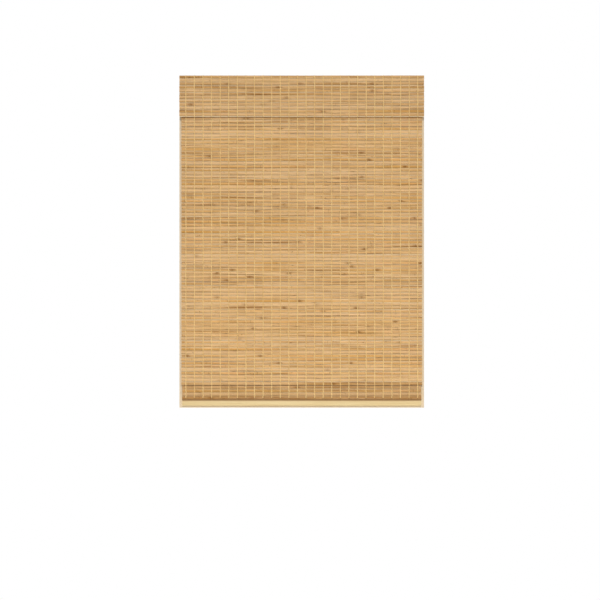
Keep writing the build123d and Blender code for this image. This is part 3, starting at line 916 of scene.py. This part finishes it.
# Each panel's width, the depth of its slats' flat backs, and its threads' finish
panels = {
    "valance": (valance_width, valance_back, thread_finish),
    "mat": (mat_width, mat_back, thread_finish),
    "hem": (hem_width, mat_back, hem_thread_finish),
}

# Each stretch's name, first row, rows and body, and 1 or -1 for a pleat's upper or lower half
stretches = [("mat_top", 0, TOP_ROWS, "headrail", 0)]
for fold in range(1, FOLDS + 1):
    above = "headrail" if fold == 1 else f"ring_row_{fold - 1}"
    below = "bottom_rail" if fold == FOLDS else f"ring_row_{fold}"
    first, half = TOP_ROWS + (fold - 1) * FOLD_ROWS, FOLD_ROWS // 2
    stretches.append((f"fold_{fold}_upper", first, half, above, 1))
    stretches.append((f"fold_{fold}_lower", first + half, half, below, -1))


def fold_with_lift(piece, top, bottom, depth, side):
    """For a pleat's stretch, works out the slope it would lean along and its fixed edge at its ring
    row, and gives the piece its own mesh.

    Depth is where two stretches meet at a crest: the mat's front, or just inside the liner's back.
    """
    if side:
        axis = (0.0, -side * math.sin(fold_tilt), math.cos(fold_tilt))
        anchor = (0.0, depth, top if side == 1 else bottom)
        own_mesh(piece)


def weave(name, panel, top, first, rows, body, side):
    """The slats, reeds and warp threads of one stretch of panel."""
    width, back, panel_thread = panels[panel]
    bottom = top - rows * ROW
    thread_middle = back - (SLAT_EDGE + SLAT_CROWN) / 2
    crest = thread_middle - THREAD_SWING - THREAD_RADIUS
    slat_middle = top - ROW_GAP / 2 - SLAT / 2
    reed_middle = top - ROW + ROW_GAP / 2 + REED / 2
    reed_back = back - REED_FORWARD
    slat_finish, reed_finish = panel_finishes[panel]
    kinds = [
        ("slats", SLAT, SLAT_EDGE, SLAT_CROWN, slat_middle, back, slat_finish, {}),
        ("reeds", REED, REED_EDGE, REED_CROWN, reed_middle, reed_back, reed_finish, REED_LOOK),
    ]
    pieces = []
    for part, height, edge, crown, middle, depth, finish, look in kinds:
        piece = rows_of.make(
            f"{name}_{part}",
            Blank=blank(f"{name}_{part}_blank", width, height, edge, crown),
            Finish=finish,
            Rows=rows,
            First_row=first,
            Top=middle,
            Back=depth,
            Height=height,
            **look,
        )
        pieces.append(piece)
    threads = columns_of.make(
        f"{name}_threads",
        Finish=panel_thread,
        Rows=rows,
        First_row=first,
        Top=top,
        Middle=thread_middle,
    )
    pieces.append(threads)
    for piece in pieces:
        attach(piece, body)
        fold_with_lift(piece, top, bottom, crest, side)
    for piece, part in zip(pieces, ("slats", "reeds", "warp_threads")):
        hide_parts(f"{panel}_{part}")


weave("valance", "valance", weave_top, VALANCE_FIRST, VALANCE_ROWS, "headrail", 0)
for name, first, rows, body, side in stretches:
    weave(name, "mat", weave_top - first * ROW, first, rows, body, side)
weave("hem", "hem", hem_top, HEM_FIRST, HEM_ROWS, "bottom_rail", 0)


# Liner: one sheet of cloth, in the same stretches as the mat

LINER_HEM = 0.018
LINER_BOTTOM_HEM = 0.022
CLOTH_THICKNESS = 0.0006
LINER_RIPPLE = 0.0005
LINER_BAYS = 48
LINER_STEP = 0.025
# A side hem's section: shares of its width, and how many cloths it stands up from the back
HEM_SECTION = ((0, 0.6), (0.04, 1), (1, 1), (1.02, 0))
# Where a hem's stitches run, as a share of its width, how far below the top they start, and how
# many cloths they stand out from the back
STITCH_PLACE = 0.86
STITCH_START = 0.002
SIDE_STITCH_RISE = 1.3
BOTTOM_STITCH_RISE = 1.2


def liner_ripple(x, z):
    """The cloth's slight standing waves, which die out at the top and the bottom."""
    drop = (liner_high.z - z) / (liner_high.z - liner_low.z)
    return drop * (1 - drop) * LINER_RIPPLE * (math.sin(x * 31) + math.sin(x * 17 + z * 4))


def stitch_row(name, x, face, top, length, sideways):
    """Hem stitches over a length, down from a place or along from it."""
    row = stitches_of.make(
        name,
        Finish=stitch_finish,
        Stitches=int(length / STITCH_PITCH),
        Sideways=1.0 if sideways else 0.0,
        Downwards=0.0 if sideways else 1.0,
        Across=x,
        Face=face,
        Top=top,
    )
    return row


def liner_stretch(name, top, bottom, body, side):
    """A stretch of the liner, its side hems and the last one's bottom hem turned to the back."""
    half = (liner_high.x - liner_low.x) / 2
    back = liner_high.y
    middle = back - CLOTH_THICKNESS / 2
    last = bottom <= liner_low.z + 0.001
    turn = bottom + LINER_BOTTOM_HEM if last else bottom
    down = max(2, round((top - bottom) / LINER_STEP))
    heights = [top + (bottom - top) * j / down for j in range(down + 1)]
    if last:
        # A sharp step where the bottom hem starts, and a thinner lower edge
        heights = [z for z in heights if z > turn + 0.004]
        heights += [turn + 0.0004, turn, bottom + 0.001, bottom]
    bays = [-half + 2 * half * i / LINER_BAYS for i in range(LINER_BAYS + 1)]
    side_hem = [(half - LINER_HEM * t, back + CLOTH_THICKNESS * e) for t, e in HEM_SECTION]
    outline = [(x, back - CLOTH_THICKNESS) for x in bays]
    outline += side_hem
    outline += [(x, back) for x in reversed(bays) if abs(x) < half - 1.1 * LINER_HEM]
    outline += [(-x, y) for x, y in reversed(side_hem)]
    points = []
    for z in heights:
        hem = CLOTH_THICKNESS if bottom < z <= turn else 0.0
        for x, y in outline:
            points.append((x, y + liner_ripple(x, z) + (hem if y > middle else 0.0), z))
    piece = piece_from(name, points, skin(len(heights), len(outline)), liner_finish)
    stitches = []
    place, start = half - LINER_HEM * STITCH_PLACE, top - STITCH_START
    face = back + CLOTH_THICKNESS * SIDE_STITCH_RISE
    for edge, x in (("left", -place), ("right", place)):
        stitches.append(stitch_row(f"{name}_{edge}_stitches", x, face, start, top - turn, False))
    if last:
        start = LINER_HEM - half
        face = back + CLOTH_THICKNESS * BOTTOM_STITCH_RISE
        level = bottom + LINER_BOTTOM_HEM * STITCH_PLACE
        stitches.append(stitch_row(f"{name}_hem_stitches", start, face, level, -2 * start, True))
    for made in [piece, *stitches]:
        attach(made, body)
        fold_with_lift(made, top, bottom, middle, side)
    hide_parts("liner")
    top - bottom


liner_stretch("liner_top", liner_high.z, fold_top, "headrail", 0)
for name, first, rows, body, side in stretches[1:]:
    top = weave_top - first * ROW
    liner_stretch("liner_" + name, top, top - rows * ROW, body, side)
liner_stretch("liner_bottom", fold_top - FOLDS * FOLD_ROWS * ROW, liner_low.z, "bottom_rail", 0)


# Rings: each has a moulded hoop and tab, sewn to the liner with thread over the tab

RING_RADIUS = 0.0056
RING_SECTION = 0.00085
RING_STEPS = 32
RING_SIDES = 10
TAB_WIDTH = 0.005
TAB_HEIGHT = 0.007
TAB_THICKNESS = 0.0014
TAB_EDGE = 0.0004
SEWING_THREAD = 0.00022
SEWING_SIDES = 6
SEWING_LEVELS = (-0.0027, -0.0022, -0.0017, 0.0017, 0.0022, 0.0027)


def softened_block(low, high, edge):
    """Points and faces of a block with rounded edges."""
    shape = bmesh.new()
    bmesh.ops.create_cube(shape, size=1.0)
    low, high = Vector(low), Vector(high)
    for point in shape.verts:
        point.co = [(low[i] + high[i]) / 2 + point.co[i] * (high[i] - low[i]) for i in range(3)]
    bmesh.ops.bevel(
        shape, geom=shape.edges[:], offset=edge, segments=3, profile=0.5, affect="EDGES"
    )
    shape.verts.index_update()
    points = [point.co.copy() for point in shape.verts]
    faces = [tuple(point.index for point in face.verts) for face in shape.faces]
    shape.free()
    return points, faces


def joined(name, parts, finish):
    """One piece from several lists of points and faces."""
    points, faces = [], []
    for some, theirs in parts:
        faces += [tuple(i + len(points) for i in face) for face in theirs]
        points += some
    return piece_from(name, points, faces, finish, smooth=True)


def sewn_rings(row):
    """The three rings of a row with their tabs, and the thread that sews them on."""
    node = f"ring_row_{row}"
    low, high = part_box(node)
    height = (low.z + high.z) / 2
    cloth = low.y
    face = cloth + TAB_THICKNESS
    over = face + SEWING_THREAD * 0.6
    outer = RING_RADIUS + RING_SECTION
    middle = high.y - outer
    reach = high.x - outer
    half = TAB_WIDTH / 2
    turns = [2 * math.pi * i / RING_STEPS for i in range(RING_STEPS)]
    circle = [(RING_RADIUS * math.cos(a), RING_RADIUS * math.sin(a)) for a in turns]
    hoops, threads = [], []
    for x in (-reach, 0.0, reach):
        hoop = [(x + across, middle + out, height) for across, out in circle]
        hoops.append(round_bar(hoop, RING_SECTION, RING_SIDES, closed=True)[:2])
        corner = (x - half, cloth, height - TAB_HEIGHT / 2)
        opposite = (x + half, face, height + TAB_HEIGHT / 2)
        hoops.append(softened_block(corner, opposite, TAB_EDGE))
        for level in SEWING_LEVELS:
            z = height + level
            # Out of the cloth beside the tab, over the tab, and into the cloth again
            strand = [
                (x - half - 0.0009, cloth - 0.0001, z),
                (x - half - 0.0004, cloth + 0.0006, z),
                (x - half + 0.0002, over - 0.0001, z + 0.0001),
                (x, over + 0.0001, z),
                (x + half - 0.0002, over - 0.0001, z - 0.0001),
                (x + half + 0.0004, cloth + 0.0006, z),
                (x + half + 0.0009, cloth - 0.0001, z),
            ]
            threads.append(round_bar(strand, SEWING_THREAD, SEWING_SIDES)[:2])
    rings = joined(node + "_hoops", hoops, ring_finish)
    sewing = joined(node + "_sewing", threads, stitch_finish)
    for piece in (rings, sewing):
        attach(piece, node)
    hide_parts(node)


for fold in range(1, FOLDS):
    sewn_rings(fold)


# Lift cords: a run inside the headrail and a run down the back

CORD_RADIUS = 0.0006
PULLEY_RADIUS = 0.005
PULLEY_STEPS = 8
SPOOL_RADIUS = 0.0125
SPOOL_TURNS = 2.25
SPOOL_STEPS = 54
SPOOL_DRIFT = 0.0012
# The two runs meet this far below the pulley's middle
MEETING_DROP = 0.004
HANGING_STEPS = 40
BEAD_RADIUS = 0.0015
BEAD_SIDES = 16
BEAD_LEVELS = (0.0, 0.0005, 0.0025, 0.003)


def lift_cord(name, spool):
    """The cord over its pulley to its spool, and the cord down through the rings."""
    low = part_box(f"lift_cord_{name}")[0]
    pulley_low, pulley_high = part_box(f"cord_pulley_{name}")
    pulley = (pulley_low + pulley_high) / 2
    spool_low, spool_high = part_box(spool)
    drum = (spool_low.x + spool_high.x) / 2
    way = 1.0 if drum > pulley.x else -1.0
    x = pulley.x - way * PULLEY_RADIUS
    level = pulley.z + PULLEY_RADIUS
    y = pulley.y
    start = pulley.z - MEETING_DROP
    end = low.z + BEAD_LEVELS[-1]
    length = start - end
    route = [(x, y, start)]
    for i in range(PULLEY_STEPS + 1):
        angle = math.pi / 2 * i / PULLEY_STEPS
        across, up = PULLEY_RADIUS * math.cos(angle), PULLEY_RADIUS * math.sin(angle)
        route.append((pulley.x - way * across, y, pulley.z + up))
    route += [(pulley.x + (drum - pulley.x) * t, y, level) for t in (0.25, 0.5, 0.75)]
    for i in range(SPOOL_STEPS + 1):
        angle = -math.pi / 2 + way * 2 * math.pi * SPOOL_TURNS * i / SPOOL_STEPS
        across, out = SPOOL_RADIUS * math.cos(angle), SPOOL_RADIUS * math.sin(angle)
        drift = SPOOL_DRIFT * (i / SPOOL_STEPS - 0.5)
        route.append((drum + across, out, level + drift * i / SPOOL_STEPS))
    inside = tube(f"lift_cord_{name}_inside", route, CORD_RADIUS, cord_finish)
    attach(inside, "headrail")
    run = [(x, y, start + (end - start) * i / HANGING_STEPS) for i in range(HANGING_STEPS + 1)]
    hanging = tube(f"lift_cord_{name}_hanging", run, CORD_RADIUS, cord_finish)
    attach(hanging, "headrail")
    (length - travel) / length
    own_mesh(hanging)
    bead = tube(
        f"lift_cord_{name}_bead",
        [(x, y, low.z + up) for up in BEAD_LEVELS],
        BEAD_RADIUS,
        white_finish,
        BEAD_SIDES,
    )
    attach(bead, "bottom_rail")
    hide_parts(f"lift_cord_{name}")


lift_cord("left", "cord_spool_left")
lift_cord("centre", "cord_spool_left")
lift_cord("right", "cord_spool_right")


# Finishes of the CAD pieces that show as they are

cad_finishes = {
    "headrail": paint_finish,
    "end_cap_left": white_finish,
    "end_cap_right": white_finish,
    "mounting_bracket_left": zinc_finish,
    "mounting_bracket_right": zinc_finish,
    "hook_tape": tape_finish,
    "head_batten": batten_finish,
    "valance_batten": batten_finish,
    "bottom_rail": rail_finish,
    "cord_anchors": white_finish,
    "pulley_pins": pin_finish,
    "motor_base": white_finish,
    "motor_cover": white_finish,
    "motor_cover_screws": pin_finish,
    "cord_spool_left": drum_finish,
    "spring_storage_drum": drum_finish,
    "spring_output_drum": drum_finish,
    "cord_spool_right": drum_finish,
    "power_spring": spring_finish,
}
for side in ("left", "centre", "right"):
    cad_finishes[f"cord_guide_{side}"] = white_finish
    cad_finishes[f"cord_pulley_{side}"] = drum_finish
for node, finish in cad_finishes.items():
    for slot in frame["nodes"][node].material_slots:
        slot.material = finish


# Floor, light and camera

CAMERA_DISTANCE = 6.0
CAMERA_LENS = 100.0
SENSOR = 36.0
PICTURE_CENTRE = (-0.0063, -0.8105)
FLOOR_HEIGHT = -2.35
FLOOR_HALF = 2.4
SHADE_MIDDLE = (0.0, 0.0, -0.6)
WORLD_LIGHT = 0.28


def floor():
    ground = bpy.data.meshes.new("floor")
    corners = [(-FLOOR_HALF, -FLOOR_HALF), (FLOOR_HALF, -FLOOR_HALF)]
    corners += [(FLOOR_HALF, FLOOR_HALF), (-FLOOR_HALF, FLOOR_HALF)]
    ground.from_pydata([(x, y, FLOOR_HEIGHT) for x, y in corners], [], [(0, 1, 2, 3)])
    f = Finish("floor_pale", Roughness=0.8)
    grain = f.noise(f.vector(f.x * 3.0, f.y * 3.0, 0.0), 3.0)
    ground.materials.append(f.set(f.shade(colour(0.97, 0.97, 0.965), 0.98 + grain * 0.03)))
    placed("floor", ground)


def area_light(name, place, target, size, power):
    """A soft square lamp, turned to what it lights."""
    lamp = bpy.data.lights.new(name, "AREA")
    lamp.size = size
    lamp.energy = power
    holder = placed(name, lamp)
    holder.location = place
    holder.rotation_euler = (Vector(target) - Vector(place)).to_track_quat("-Z", "Y").to_euler()


def sun_light(name, direction, spread, strength):
    """A distant lamp that shines the same on the whole shade, with soft-edged shadows."""
    lamp = bpy.data.lights.new(name, "SUN")
    lamp.angle = math.radians(spread)
    lamp.energy = strength
    holder = placed(name, lamp)
    holder.rotation_euler = Vector(direction).to_track_quat("Z", "Y").to_euler()


def world():
    """Soft white surroundings: plain white to the camera, gloss and glass, gentler as light."""
    made = bpy.data.worlds.new("studio")
    made.use_nodes = True
    g = Graph(made.node_tree)
    g.tree.nodes.clear()
    rays = g.add("ShaderNodeLightPath")
    seen = g.maths("MAXIMUM", rays.outputs["Is Camera Ray"], rays.outputs["Is Glossy Ray"])
    seen = g.maths("MAXIMUM", seen, rays.outputs["Is Transmission Ray"])
    light = g.add("ShaderNodeBackground", {}, {"Color": (1, 1, 1, 1), "Strength": WORLD_LIGHT})
    white = g.add("ShaderNodeBackground", {}, {"Color": (1, 1, 1, 1), "Strength": 1.0})
    either = g.add("ShaderNodeMixShader", {}, {0: seen, 1: light.outputs[0], 2: white.outputs[0]})
    output = g.add("ShaderNodeOutputWorld")
    g.tree.links.new(either.outputs[0], output.inputs[0])
    bpy.context.scene.world = made


floor()
world()
sun_light("key", direction=(-0.03, -1.0, 0.75), spread=6.0, strength=1.45)
area_light("fill", place=(0.6, -4.6, -0.6), target=SHADE_MIDDLE, size=2.6, power=28.0)
sun_light("rear", direction=(0.45, 1.0, 0.8), spread=12.0, strength=2.5)

lens = bpy.data.cameras.new("camera")
lens.lens = CAMERA_LENS
lens.sensor_width = SENSOR
camera = placed("camera", lens)
camera.location = (PICTURE_CENTRE[0], mat_low.y - CAMERA_DISTANCE, PICTURE_CENTRE[1])
camera.rotation_euler = (math.pi / 2, 0.0, 0.0)
bpy.context.scene.camera = camera
bpy.context.scene.view_settings.view_transform = "Standard"
